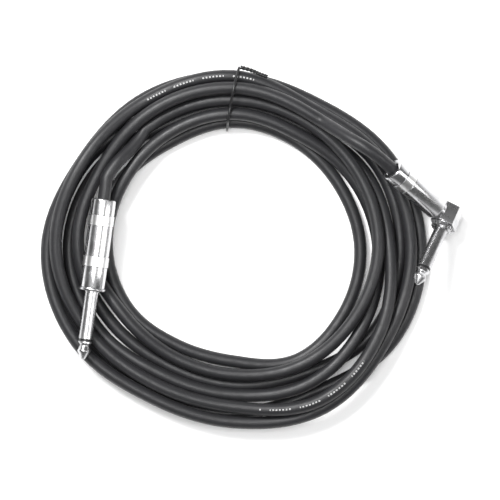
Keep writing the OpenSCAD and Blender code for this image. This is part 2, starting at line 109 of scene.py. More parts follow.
def deselect() -> None:
    """Leaves nothing selected and no object in edit mode."""
    if bpy.context.object and bpy.context.object.mode != "OBJECT":
        bpy.ops.object.mode_set(mode="OBJECT")
    bpy.ops.object.select_all(action="DESELECT")


def take(piece: bpy.types.Object) -> None:
    """Makes one object the only selected and active one."""
    deselect()
    piece.select_set(True)
    bpy.context.view_layer.objects.active = piece


def turned(name: str, profile: list[tuple[float, float]], sides: int = 72) -> bpy.types.Object:
    """Turns a profile about the local Z axis, one ring extruded from the last.

    Args:
        name: the piece's name.
        profile: (radius, height) pairs in millimetres. A radius of 0 at either end closes the
            shape on the axis, and a last pair equal to the first closes it on itself.
        sides: how many sides each ring has.

    Returns:
        The new object, at the origin, with its normals outwards.
    """
    deselect()
    closed = profile[0] == profile[-1]
    first_r, first_z = profile[0]
    start_r = first_r if first_r > 0 else POINT_R
    bpy.ops.mesh.primitive_circle_add(vertices=sides, radius=start_r * MM)
    piece = bpy.context.object
    piece.name = name
    piece.data.name = name
    bpy.ops.object.mode_set(mode="EDIT")
    bpy.ops.mesh.select_all(action="SELECT")
    bpy.ops.transform.translate(value=(0, 0, first_z * MM))
    if first_r <= 0:
        bpy.ops.mesh.edge_face_add()
    radius, height = start_r, first_z
    for next_r, next_z in profile[1:]:
        bpy.ops.mesh.extrude_region_move(
            TRANSFORM_OT_translate={"value": (0, 0, (next_z - height) * MM)}
        )
        target = next_r if next_r > 0 else POINT_R
        share = target / radius
        bpy.ops.transform.resize(value=(share, share, 1), center_override=(0, 0, next_z * MM))
        radius, height = target, next_z
    bpy.ops.mesh.select_all(action="SELECT")
    bpy.ops.mesh.remove_doubles(threshold=CLOSED_MERGE if closed else OPEN_MERGE)
    bpy.ops.mesh.normals_make_consistent(inside=False)
    bpy.ops.object.mode_set(mode="OBJECT")
    return piece


def knurl(piece: bpy.types.Object, low: float, high: float, step: float, rise: float,
          sides: int, bore: float) -> None:
    """Raises every other point of a band, so that its quads become diamond points.

    Args:
        piece: a turned piece with rings every step inside the band.
        low: where the band starts, in millimetres.
        high: where it ends.
        step: the distance between rings.
        rise: how far a point stands out.
        sides: how many sides the piece has.
        bore: points nearer the axis than this stay.
    """
    take(piece)
    bpy.ops.object.mode_set(mode="EDIT")
    bpy.ops.mesh.select_mode(type="VERT")
    bpy.ops.mesh.select_all(action="DESELECT")
    mesh = bmesh.from_edit_mesh(piece.data)
    radius, raised = 0.0, 0
    for vert in mesh.verts:
        away = math.hypot(vert.co.x, vert.co.y) / MM
        row = (vert.co.z / MM - low) / step
        column = math.atan2(vert.co.y, vert.co.x) / (2 * math.pi / sides)
        inside = low - TOUCH < vert.co.z / MM < high + TOUCH and away > bore
        if inside and (round(row) + round(column)) % 2 == 0:
            vert.select_set(True)
            radius, raised = away, raised + 1
    mesh.select_flush_mode()
    bmesh.update_edit_mesh(piece.data)
    share = (radius + rise) / radius
    bpy.ops.transform.resize(value=(share, share, 1), center_override=(0, 0, 0))
    bpy.ops.object.mode_set(mode="OBJECT")
    LOG.info("%s: %d knurl points", piece.name, raised)


def smooth(piece: bpy.types.Object, degrees: float = 28.0) -> None:
    """Shades a piece smooth, with edges sharper than the given angle kept."""
    take(piece)
    bpy.ops.object.shade_smooth_by_angle(angle=math.radians(degrees))


def keep_local(piece: bpy.types.Object) -> None:
    """Stores each point's place in the plug's own axes, in millimetres, as attribute own_place."""
    store = piece.data.attributes.new("own_place", "FLOAT_VECTOR", "POINT")
    values = [c / MM for vert in piece.data.vertices for c in vert.co]
    store.data.foreach_set("vector", values)


def settle(piece: bpy.types.Object, place: Matrix, finish: "Finish", body: str, slot: str,
           *nodes: str) -> bpy.types.Object:
    """Puts a finished piece in its place, dresses it and gives it its body.

    Args:
        piece: the piece, modelled in its own axes.
        place: where those axes lie in the row frame.
        finish: what it is made of.
        body: the CAD body that it rides on.
        slot: the record's material slot; not used.
        *nodes: the CAD nodes that it stands for.

    Returns:
        The piece.
    """
    keep_local(piece)
    piece.data.transform(place)
    piece.data.materials.clear()
    piece.data.materials.append(finish.material())
    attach(piece, body)
    if nodes:
        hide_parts(*nodes)
    LOG.info("%s: %d faces on %s", piece.name, len(piece.data.polygons), body)
    return piece


# ---- finishes ---------------------------------------------------------------------
class Place(Enum):
    """What a pattern is laid on."""

    OBJECT = "object"
    OWN = "own_place"


class NodeTree:
    """A short way to add and join shader nodes."""

    def __init__(self, tree: bpy.types.NodeTree) -> None:
        """Keeps the tree that nodes are added to."""
        self.tree = tree

    def add(self, kind: str, **values: object) -> bpy.types.Node:
        """Adds a node and sets its properties and unlinked inputs.

        Args:
            kind: the node's type name.
            **values: properties, or inputs by name with spaces as underscores.

        Returns:
            The node.
        """
        node = self.tree.nodes.new(kind)
        for key, value in values.items():
            if hasattr(node, key):
                setattr(node, key, value)
            else:
                node.inputs[key.replace("_", " ")].default_value = value
        return node

    def join(self, out: bpy.types.NodeSocket, into: bpy.types.NodeSocket) -> None:
        """Joins an output to an input."""
        self.tree.links.new(out, into)

    def math(self, operation: str, first: object, second: object = 0.0,
             third: object = 0.0) -> bpy.types.NodeSocket:
        """Adds a Math node whose inputs are numbers or sockets, and returns its output."""
        node = self.tree.nodes.new("ShaderNodeMath")
        node.operation = operation
        for socket, value in zip(node.inputs, (first, second, third)):
            if isinstance(value, bpy.types.NodeSocket):
                self.join(value, socket)
            else:
                socket.default_value = value
        return node.outputs[0]

    def ramp(self, value: bpy.types.NodeSocket, low: float, high: float, start: float,
             stop: float) -> bpy.types.NodeSocket:
        """Maps a value from one range to another, held at both ends."""
        node = self.tree.nodes.new("ShaderNodeMapRange")
        self.join(value, node.inputs["Value"])
        node.inputs["From Min"].default_value = low
        node.inputs["From Max"].default_value = high
        node.inputs["To Min"].default_value = start
        node.inputs["To Max"].default_value = stop
        return node.outputs["Result"]

    def bands(self, value: bpy.types.NodeSocket,
              stretches: tuple[tuple[float, float], ...]) -> bpy.types.NodeSocket:
        """Returns a mask that is 1 where a value lies in one of the stretches."""
        mask = None
        for low, high in stretches:
            after = self.math("GREATER_THAN", value, low)
            band = self.math("MULTIPLY", after, self.math("LESS_THAN", value, high))
            mask = band if mask is None else self.math("MAXIMUM", mask, band)
        return mask


def wear_group() -> bpy.types.NodeTree:
    """The shared wear: fine scratches and soft smudges, as masks and a height.

    Returns:
        The node group, with inputs Vector, Scale and Stretch, and outputs Smudge, Scratch, Height.
    """
    found = bpy.data.node_groups.get("handling_wear")
    if found:
        return found
    group = bpy.data.node_groups.new("handling_wear", "ShaderNodeTree")
    face = group.interface
    face.new_socket("Vector", in_out="INPUT", socket_type="NodeSocketVector")
    scale = face.new_socket("Scale", in_out="INPUT", socket_type="NodeSocketFloat")
    scale.default_value = 300.0
    stretch = face.new_socket("Stretch", in_out="INPUT", socket_type="NodeSocketVector")
    stretch.default_value = (1.0, 1.0, 1.0)
    for name in ("Smudge", "Scratch", "Height"):
        face.new_socket(name, in_out="OUTPUT", socket_type="NodeSocketFloat")
    tree = NodeTree(group)
    come = tree.add("NodeGroupInput")
    go = tree.add("NodeGroupOutput")
    soft = tree.add("ShaderNodeTexNoise", Detail=3.0, Roughness=0.55)
    tree.join(come.outputs["Vector"], soft.inputs["Vector"])
    tree.join(come.outputs["Scale"], soft.inputs["Scale"])
    tree.join(tree.ramp(soft.outputs["Fac"], 0.35, 0.7, 0.0, 1.0), go.inputs["Smudge"])
    pulled = tree.add("ShaderNodeVectorMath", operation="MULTIPLY")
    tree.join(come.outputs["Vector"], pulled.inputs[0])
    tree.join(come.outputs["Stretch"], pulled.inputs[1])
    fine = tree.add("ShaderNodeTexNoise", Detail=4.0, Roughness=0.7)
    tree.join(pulled.outputs["Vector"], fine.inputs["Vector"])
    tree.join(tree.math("MULTIPLY", come.outputs["Scale"], 6.0), fine.inputs["Scale"])
    scratch = tree.ramp(fine.outputs["Fac"], 0.55, 0.75, 0.0, 1.0)
    tree.join(scratch, go.inputs["Scratch"])
    tree.join(fine.outputs["Fac"], go.inputs["Height"])
    return group


@dataclass(frozen=True)
class Finish:
    """A plain finish: one colour with handling wear in its gloss."""

    name: str
    colour: tuple[float, float, float]
    roughness: float = 0.4
    spread: float = 0.1
    metallic: float = 0.0
    grain: float = 0.04
    scale: float = 300.0
    grain_depth: float = 0.0001
    darker: float = 0.85
    specular: float = 0.5
    place: Place = Place.OBJECT
    stretch: tuple[float, float, float] = (1.0, 1.0, 1.0)

    def material(self) -> bpy.types.Material:
        """Makes the material once, and returns it."""
        found = bpy.data.materials.get(self.name)
        if found:
            return found
        made = bpy.data.materials.new(self.name)
        made.use_nodes = True
        made.node_tree.nodes.clear()
        tree = NodeTree(made.node_tree)
        out = tree.add("ShaderNodeOutputMaterial")
        shader = tree.add("ShaderNodeBsdfPrincipled")
        shader.inputs["Metallic"].default_value = self.metallic
        shader.inputs["Specular IOR Level"].default_value = self.specular
        tree.join(shader.outputs["BSDF"], out.inputs["Surface"])
        self.dress(tree, shader)
        made.diffuse_color = (*self.colour, 1.0)
        return made

    def wear(self, tree: NodeTree) -> bpy.types.Node:
        """Adds the shared wear on this finish's own coordinates."""
        node = tree.add("ShaderNodeGroup", node_tree=wear_group())
        if self.place is Place.OWN:
            source = tree.add("ShaderNodeAttribute", attribute_name=Place.OWN.value)
            shrunk = tree.add("ShaderNodeVectorMath", operation="SCALE")
            shrunk.inputs["Scale"].default_value = MM
            tree.join(source.outputs["Vector"], shrunk.inputs[0])
            tree.join(shrunk.outputs["Vector"], node.inputs["Vector"])
        else:
            source = tree.add("ShaderNodeTexCoord")
            tree.join(source.outputs["Object"], node.inputs["Vector"])
        node.inputs["Scale"].default_value = self.scale
        node.inputs["Stretch"].default_value = self.stretch
        return node

    def worn_colour(self, tree: NodeTree, wear: bpy.types.Node) -> bpy.types.NodeSocket:
        """Returns the colour, a little darker where it is smudged."""
        tint = tree.add("ShaderNodeMix", data_type="RGBA")
        tint.inputs["A"].default_value = (*self.colour, 1.0)
        tint.inputs["B"].default_value = (*(c * self.darker for c in self.colour), 1.0)
        tree.join(wear.outputs["Smudge"], tint.inputs["Factor"])
        return tint.outputs["Result"]

    def worn_gloss(self, tree: NodeTree, wear: bpy.types.Node) -> bpy.types.NodeSocket:
        """Returns the roughness, a little higher where it is smudged."""
        high = self.roughness + self.spread
        return tree.ramp(wear.outputs["Smudge"], 0.0, 1.0, self.roughness, high)

    def laid_over(self, tree: NodeTree, under: bpy.types.NodeSocket,
                  over: tuple[float, float, float],
                  mask: bpy.types.NodeSocket) -> bpy.types.NodeSocket:
        """Returns a colour with another one laid over it where a mask is 1."""
        mixed = tree.add("ShaderNodeMix", data_type="RGBA")
        mixed.inputs["B"].default_value = (*over, 1.0)
        tree.join(mask, mixed.inputs["Factor"])
        tree.join(under, mixed.inputs["A"])
        return mixed.outputs["Result"]

    def grain_bump(self, tree: NodeTree, wear: bpy.types.Node, shader: bpy.types.Node) -> None:
        """Joins the fine grain to the shader as bump."""
        bump = tree.add("ShaderNodeBump", Strength=self.grain, Distance=self.grain_depth)
        tree.join(wear.outputs["Height"], bump.inputs["Height"])
        tree.join(bump.outputs["Normal"], shader.inputs["Normal"])

    def dress(self, tree: NodeTree, shader: bpy.types.Node) -> None:
        """Joins colour, roughness and bump to the shader."""
        wear = self.wear(tree)
        tree.join(self.worn_colour(tree, wear), shader.inputs["Base Color"])
        tree.join(self.worn_gloss(tree, wear), shader.inputs["Roughness"])
        self.grain_bump(tree, wear, shader)


@dataclass(frozen=True)
class Jacket(Finish):
    """The cord's matte jacket, with its row of plain printed dashes."""

    print_colour: tuple[float, float, float] = (0.42, 0.42, 0.42)
    # Printed stretches: where each starts and ends along the lay, in lay steps
    prints: tuple[tuple[float, float], ...] = ((48.95, 50.25), (42.35, 43.7))
    # How many dashes and groups of dashes a lay step has, and how much of each is inked
    dashes: float = 27.0
    dash_share: float = 0.5
    groups: float = 3.0
    group_share: float = 0.7
    # Where the line lies round the cord, and half its width, in turns
    line_at: float = 0.25
    line_half: float = 0.021

    def dress(self, tree: NodeTree, shader: bpy.types.Node) -> None:
        """Joins the jacket's colour with the dashes on its top, its grain and its sheen."""
        wear = self.wear(tree)
        along = tree.add("ShaderNodeAttribute", attribute_name="lay_step").outputs["Fac"]
        around = tree.add("ShaderNodeAttribute", attribute_name="round_turn").outputs["Fac"]
        ink = tree.bands(along, self.prints)
        dash_way = tree.math("FRACT", tree.math("MULTIPLY", along, self.dashes))
        group_way = tree.math("FRACT", tree.math("MULTIPLY", along, self.groups))
        dash = tree.math("LESS_THAN", dash_way, self.dash_share)
        group = tree.math("LESS_THAN", group_way, self.group_share)
        off = tree.math("ABSOLUTE", tree.math("SUBTRACT", around, self.line_at))
        line = tree.math("LESS_THAN", off, self.line_half)
        mask = tree.math("MULTIPLY", tree.math("MULTIPLY", ink, dash),
                         tree.math("MULTIPLY", group, line))
        printed = self.laid_over(tree, self.worn_colour(tree, wear), self.print_colour, mask)
        tree.join(printed, shader.inputs["Base Color"])
        tree.join(self.worn_gloss(tree, wear), shader.inputs["Roughness"])
        self.grain_bump(tree, wear, shader)


@dataclass(frozen=True)
class Plated(Finish):
    """Bright plating, with its knurled bands less glossy than the rest and painted paler: a
    painted sheen for the light their facets scatter.
    """

    # Each band's start and end along the shell, in millimetres
    bands: tuple[tuple[float, float], ...] = ()
    # Painted sheen: a paler colour on the bands stands in for the light the knurl's facets scatter
    band_sheen_colour: tuple[float, float, float] = (0.86, 0.86, 0.86)
    band_roughness: float = 0.3

    def dress(self, tree: NodeTree, shader: bpy.types.Node) -> None:
        """Joins colour, roughness and bump, by the distance along the shell; the bands get a paler
        colour as painted sheen.
        """
        wear = self.wear(tree)
        place = tree.add("ShaderNodeAttribute", attribute_name=Place.OWN.value)
        split = tree.add("ShaderNodeSeparateXYZ")
        tree.join(place.outputs["Vector"], split.inputs[0])
        inside = tree.bands(split.outputs["Z"], self.bands)
        # Painted sheen: the knurled bands are coloured paler for the light their facets scatter
        pale = self.laid_over(tree, self.worn_colour(tree, wear), self.band_sheen_colour, inside)
        tree.join(pale, shader.inputs["Base Color"])
        rough = tree.math("MULTIPLY", inside, self.band_roughness)
        tree.join(tree.math("MAXIMUM", self.worn_gloss(tree, wear), rough),
                  shader.inputs["Roughness"])
        self.grain_bump(tree, wear, shader)


JACKET = Jacket("cord_jacket_charcoal", (0.021, 0.021, 0.023), roughness=0.4, spread=0.1,
                grain=0.12, grain_depth=0.0002, scale=260.0, darker=0.75, specular=0.38)
SHELL_BANDS = ((7.6, 12.2), (26.5, 31.1))
BARREL_BANDS = ((6.0, 11.0),)
SHELL_NICKEL = Plated("bright_shell_plating", (0.66, 0.66, 0.67), roughness=0.16, spread=0.12,
                      metallic=1.0, grain=0.05, scale=220.0, darker=0.88, place=Place.OWN,
                      stretch=(0.4, 0.4, 3.0), bands=SHELL_BANDS)
BARREL_NICKEL = Plated("bright_barrel_plating", (0.66, 0.66, 0.67), roughness=0.16, spread=0.12,
                       metallic=1.0, grain=0.05, scale=220.0, darker=0.88, place=Place.OWN,
                       stretch=(0.4, 0.4, 3.0), bands=BARREL_BANDS)
SHAFT_NICKEL = Finish("shaft_plating", (0.6, 0.6, 0.61), roughness=0.2, spread=0.15,
                      metallic=1.0, grain=0.08, scale=240.0, darker=0.75, place=Place.OWN,
                      stretch=(3.0, 3.0, 0.35))
HEAD_NICKEL = Finish("head_plating", (0.6, 0.6, 0.61), roughness=0.22, spread=0.12,
                     metallic=1.0, grain=0.06, scale=240.0, darker=0.85, place=Place.OWN)
CAD_NICKEL = Finish("plain_nickel", (0.62, 0.62, 0.63), roughness=0.2, spread=0.12,
                    metallic=1.0, grain=0.04, scale=260.0)
RING_BLACK = Finish("ring_black", (0.012, 0.012, 0.013), roughness=0.3, spread=0.15,
                    grain=0.05, scale=400.0)
TIE_BLACK = Finish("tie_black", (0.016, 0.016, 0.017), roughness=0.28, spread=0.15,
                   grain=0.1, scale=500.0)
LINER_CLEAR = Finish("liner_plastic", (0.78, 0.78, 0.75), roughness=0.3)
CORE_PALE = Finish("core_insulation_pale", (0.76, 0.73, 0.64), roughness=0.45)
COPPER = Finish("bare_copper_strands", (0.72, 0.36, 0.2), roughness=0.3, metallic=1.0,
                grain=0.5, scale=900.0)
BRASS = Finish("tinned_brass_strip", (0.66, 0.58, 0.4), roughness=0.3, metallic=1.0)
WASHER = Finish("fibre_washer", (0.62, 0.55, 0.42), roughness=0.7, grain=0.3)


# ---- the cord ---------------------------------------------------------------------
@dataclass
class Axis:
    """A plug's own axes: Z along it towards the tip, from the rear of its shell."""

    rear: Vector
    pitch: float
    yaw: float
    roll: float = 0.0

    def turn(self) -> Matrix:
        """The turn from the plug's own axes to the row's."""
        return (
            Matrix.Rotation(math.radians(self.yaw), 4, "Z")
            @ Matrix.Rotation(math.radians(self.pitch), 4, "Y")
            @ Matrix.Rotation(math.radians(self.roll), 4, "Z")
        )

    def place(self) -> Matrix:
        """Where the plug's own axes lie in the row frame, in metres."""
        return Matrix.Translation((self.rear - LAY_MID) * MM) @ self.turn()

    def along(self, distance: float) -> Vector:
        """A point on the axis, in millimetres from the coil's middle."""
        return self.rear + distance * (self.turn().to_3x3() @ Vector((0, 0, 1)))


STRAIGHT_AXIS = Axis(Vector((-59.2, 22.8, 16.5)), 90.0, -97.5)
ANGLE_AXIS = Axis(Vector((72.9, 36.5, 25.5)), 118.5, -40.5, 150.0)


@dataclass
class Cord:
    """The whole cord, from the clamp in one plug to the clamp in the other."""

    sides: int = 20
    per_step: int = 10
    stub: float = 5.8
    jacket_in: float = 13.5
    straight_out: float = 10.0
    angle_out: float = 8.0
    # Lay steps between marks on the free stretches
    mark_step: float = 0.05
    lay: list[Vector] = field(default_factory=lambda: [Vector((r, z, 0)) for r, z in LAY])

    def lay_at(self, step: float) -> Vector:
        """A point of the coil's centre line, a number of steps along the lay."""
        index = min(int(step), len(self.lay) - 2)
        value = blend(self.lay, index, step - index)
        angle = math.radians(LAY_TOP - LAY_STEP * step)
        return Vector((value.x * math.cos(angle), value.x * math.sin(angle),
                       max(value.y, CORD_R)))

    def route(self) -> tuple[list[Vector], list[float]]:
        """Works out the cord's whole line.

        Returns:
            The line's points in millimetres, and for each how far along the lay it is.
        """
        last = len(self.lay) - 1
        count = (last - 1) * self.per_step
        steps = [1 + k / self.per_step for k in range(count + 1)]
        coil = [self.lay_at(step) for step in steps]
        out_a = (coil[0] - coil[1]).normalized() * self.stub
        out_b = (coil[-1] - coil[-2]).normalized() * self.stub
        near = [STRAIGHT_AXIS.along(-self.straight_out + d) for d in (6.0, 0.0)]
        free_a = near + [Vector(p) for p in STRAIGHT_ROUTE] + [coil[0] + out_a, coil[0], coil[1]]
        far = [ANGLE_AXIS.along(-self.angle_out + d) for d in (0.0, 5.0)]
        free_b = [coil[-2], coil[-1], coil[-1] + out_b] + [Vector(p) for p in ANGLE_ROUTE] + far
        first = self.cut(free_a, 1, len(free_a) - 3)
        final = self.cut(free_b, 1, len(free_b) - 2)
        inside_a = [STRAIGHT_AXIS.along(self.jacket_in - k * 2.35) for k in range(10)]
        inside_b = [ANGLE_AXIS.along(-self.angle_out + 2.15 * k) for k in range(1, 11)]
        line = inside_a + first[:-1] + coil + final[1:] + inside_b
        early = len(inside_a) + len(first) - 1
        marks = [steps[0] - (early - k) * self.mark_step for k in range(early)] + steps
        marks += [steps[-1] + self.mark_step * k for k in range(1, len(line) - len(marks) + 1)]
        return line, marks

    def cut(self, points: list[Vector], start: int, stop: int) -> list[Vector]:
        """Cuts a smooth line through points finely, from one entry to another."""
        pieces = 4
        line = [blend(points, i, k / pieces) for i in range(start, stop) for k in range(pieces)]
        return line + [points[stop]]

    def build(self) -> bpy.types.Object:
        line, marks = self.route()
        points = [(p - LAY_MID) * MM for p in line]
        rings, around = [], []
        for index, point in enumerate(points):
            before = points[max(index - 1, 0)]
            after = points[min(index + 1, len(points) - 1)]
            ahead = (after - before).normalized()
            side = ahead.cross(Vector((0, 0, 1))).normalized()
            up = side.cross(ahead)
            for k in range(self.sides):
                angle = 2 * math.pi * k / self.sides
                offset = side * math.cos(angle) + up * math.sin(angle)
                rings.append(point + offset * CORD_R * MM)
                around.append(k / self.sides)
        count = self.sides
        faces = []
        for ring in range(len(points) - 1):
            for k in range(count):
                a = ring * count + k
                b = ring * count + (k + 1) % count
                faces.append((a, b, b + count, a + count))
        faces.append(tuple(range(count - 1, -1, -1)))
        end = (len(points) - 1) * count
        faces.append(tuple(range(end, end + count)))
        mesh = bpy.data.meshes.new("cord")
        mesh.from_pydata([tuple(v) for v in rings], [], faces)
        mesh.update()
        piece = bpy.data.objects.new("cord", mesh)
        bpy.context.scene.collection.objects.link(piece)
        take(piece)
        bpy.ops.object.mode_set(mode="EDIT")
        bpy.ops.mesh.select_all(action="SELECT")
        bpy.ops.mesh.normals_make_consistent(inside=False)
        bpy.ops.object.mode_set(mode="OBJECT")
        lay_step = mesh.attributes.new("lay_step", "FLOAT", "POINT")
        lay_step.data.foreach_set("value", [m for m in marks for _ in range(count)])
        turn = mesh.attributes.new("round_turn", "FLOAT", "POINT")
        turn.data.foreach_set("value", around)
        smooth(piece, 60.0)
        mesh.materials.append(JACKET.material())
        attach(piece, "cable")
        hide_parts("cord_coil", "straight_lead", "angle_lead", "straight_jacket_end",
                    "angle_jacket_end")
        return piece


# ---- the tie ----------------------------------------------------------------------
@dataclass
class TwistTie:
    """The thin black twist tie: a loop round the strands and two ends twisted together."""

    wire_r: float = 0.55
    end_r: float = 0.5
    near: float = 88.0
    far: float = 93.0
    outer: float = 84.0
    across: float = 30.0
    turns: float = 4.5

    def tube(self, name: str, points: list[Vector], radius: float,
             closed: bool) -> bpy.types.Object:
        """Makes a round tube through points, as a mesh."""
        curve = bpy.data.curves.new(name, "CURVE")
        curve.dimensions = "3D"
        curve.bevel_depth = radius * MM
        curve.bevel_resolution = 3
        curve.use_fill_caps = True
        spline = curve.splines.new("POLY")
        spline.points.add(len(points) - 1)
        spline.use_cyclic_u = closed
        for slot, point in zip(spline.points, points):
            slot.co = (*((point - LAY_MID) * MM), 1.0)
        piece = bpy.data.objects.new(name, curve)
        bpy.context.scene.collection.objects.link(piece)
        take(piece)
        bpy.ops.object.convert(target="MESH")
        piece = bpy.context.object
        piece.name = name
        smooth(piece, 60.0)
        return piece

    def loop(self) -> bpy.types.Object:
        """Makes the loop, drawn tight over the strands."""
        rows = [Vector((r, z, 0)) for r, z in TIE_LOOP]
        count = len(rows)
        ring = rows[-1:] + rows + rows[:2]
        points = []
        for index in range(1, count + 1):
            for k in range(5):
                value = blend(ring, index, k / 5)
                share = (self.outer - value.x) / self.across
                angle = math.radians(self.near + (self.far - self.near) * share)
                points.append(Vector((value.x * math.cos(angle), value.x * math.sin(angle),
                                      max(value.y, self.wire_r))))
        piece = self.tube("twist_tie_loop", points, self.wire_r, True)
        return settle(piece, Matrix.Identity(4), TIE_BLACK, "cable", "tie_plastic", "twist_tie")

    def ends(self) -> bpy.types.Object:
        """Makes the two ends as a pair of strands wound round each other."""
        route = [Vector(p) for p in TIE_ENDS]
        cuts = 16
        strands = []
        for side in (0.0, math.pi):
            points = []
            for k in range((len(route) - 1) * cuts + 1):
                index = min(k // cuts, len(route) - 2)
                middle = blend(route, index, k / cuts - index)
                angle = side + 2 * math.pi * self.turns * k / ((len(route) - 1) * cuts)
                ahead = (blend(route, index, k / cuts - index + 0.05) - middle).normalized()
                across = ahead.cross(Vector((0, 0, 1))).normalized()
                up = across.cross(ahead)
                spin = across * math.cos(angle) + up * math.sin(angle)
                points.append(middle + spin * self.end_r)
            strands.append(self.tube("twist_tie_end", points, self.end_r, False))
        take(strands[0])
        strands[1].select_set(True)
        bpy.ops.object.join()
        piece = bpy.context.object
        piece.name = "twist_tie_ends"
        return settle(piece, Matrix.Identity(4), TIE_BLACK, "cable", "tie_plastic", "tie_ends")

    def build(self) -> None:
        """Makes the whole tie."""
        self.loop()
        self.ends()


# ---- the plugs --------------------------------------------------------------------
@dataclass
class PhonePlug:
    """What both plugs share: the shaft, its black ring and its tip, in millimetres."""

    prefix: str
    axis: Axis
    shaft_r: float = 3.175
    sleeve_len: float = 21.6
    ring_len: float = 1.1
    tip_len: float = 8.3
    land_len: float = 0.9
    neck_r: float = 2.2
    neck_len: float = 2.2
    ball_r: float = 3.0
    cone_len: float = 3.6
    nose_r: float = 0.8
    bore_r: float = 2.2
    rod_r: float = 1.1
    hole_gap: float = 0.35
    groove: float = 0.12
    knurl_sides: int = 48
    knurl_step: float = 0.75
    knurl_rise: float = 0.28
    thread_pitch: float = 1.0
    thread_gap: float = 0.05
    thread_len: float = 8.0
    back: float = 3.0

    def thread_rings(self, radius: float, low: float, count: int) -> list[tuple[float, float]]:
        """Returns the profile of a number of thread rings, one pitch apart."""
        rings = []
        for k in range(count):
            start = low + 0.3 + self.thread_pitch * k
            rings += [(radius, start), (radius, start + 0.3), (radius - 0.35, start + 0.55),
                      (radius - 0.35, start + 0.75)]
        return rings

    def contacts(self, place: Matrix, root: float, back: float) -> None:
        """Makes the ring and the tip.

        Args:
            place: where the shaft's own axes lie.
            root: where the shaft starts.
            back: how far back the inner pieces reach.
        """
        base = root + self.sleeve_len
        top = base + self.ring_len
        ring = turned(f"{self.prefix}_insulating_ring", [
            (self.rod_r + 0.05, back), (self.bore_r - 0.05, back), (self.bore_r - 0.05, base),
            (self.shaft_r - 0.08, base), (self.shaft_r - 0.12, base + 0.3),
            (self.shaft_r - 0.12, top - 0.3), (self.shaft_r - 0.08, top),
            (self.rod_r + 0.05, top), (self.rod_r + 0.05, back),
        ])
        smooth(ring)
        settle(ring, place, RING_BLACK, "cable", "ring_plastic", f"{self.prefix}_ring")
        end = top + self.tip_len
        shoulder = end - self.cone_len
        tip = turned(f"{self.prefix}_tip_contact", [
            (0, back - 1.0), (self.rod_r, back - 1.0), (self.rod_r, top),
            (self.shaft_r - 0.15, top), (self.shaft_r, top + 0.15),
            (self.shaft_r, top + self.land_len - 0.1), (self.shaft_r - 0.15, top + self.land_len),
            (self.neck_r + 0.1, top + self.land_len + 0.55), (self.neck_r, top + 1.7),
            (self.neck_r, top + self.neck_len), (self.neck_r + 0.25, top + self.neck_len + 0.5),
            (self.ball_r - 0.25, shoulder - 0.95), (self.ball_r - 0.05, shoulder - 0.6),
            (self.ball_r, shoulder - 0.3), (self.ball_r - 0.03, shoulder),
            (self.ball_r - 0.2, shoulder + 0.3), (self.nose_r + 0.25, end - 0.35),
            (self.nose_r, end - 0.1), (self.nose_r - 0.3, end), (0, end),
        ])
        smooth(tip)
        settle(tip, place, SHAFT_NICKEL, "cable", "contact_nickel", f"{self.prefix}_tip")

    def shell(self, name: str, radius: float, length: float, bore: float, back: float,
              bands: tuple[tuple[float, float], ...]) -> bpy.types.Object:
        """Turns a shell with its rear wall, bore and knurled bands.

        Args:
            name: the piece's name.
            radius: the shell's outer radius.
            length: its length.
            bore: the radius of its bore.
            back: the thickness of its rear wall.
            bands: each band's start and end along the shell.

        Returns:
            The shell, in the plug's own axes.
        """
        hole = CORD_R + self.hole_gap
        low_r = radius - self.groove
        profile = [
            (hole, 0.25), (hole + 0.25, 0.0), (radius - 0.75, 0.0), (radius - 0.35, 0.12),
            (radius - 0.08, 0.42), (radius, 0.85),
        ]
        for low, high in bands:
            rows = max(2, round((high - low) / self.knurl_step))
            pace = (high - low) / rows
            profile += [(radius, low - 0.35), (low_r, low - 0.2), (low_r, low - 0.05)]
            profile += [(radius, low + pace * k) for k in range(rows + 1)]
            profile += [(low_r, high + 0.05), (low_r, high + 0.2), (radius, high + 0.35)]
        profile += [
            (radius, length - 0.45), (radius - 0.1, length - 0.12), (radius - 0.3, length),
            (bore + 0.1, length), (bore, length - 0.1), (bore, back + 0.1), (bore - 0.2, back),
            (hole, back), (hole, 0.25),
        ]
        piece = turned(name, profile, self.knurl_sides)
        for low, high in bands:
            rows = max(2, round((high - low) / self.knurl_step))
            knurl(piece, low, high, (high - low) / rows, self.knurl_rise, self.knurl_sides,
                  bore + 0.3)
        smooth(piece, 18.0)
        return piece


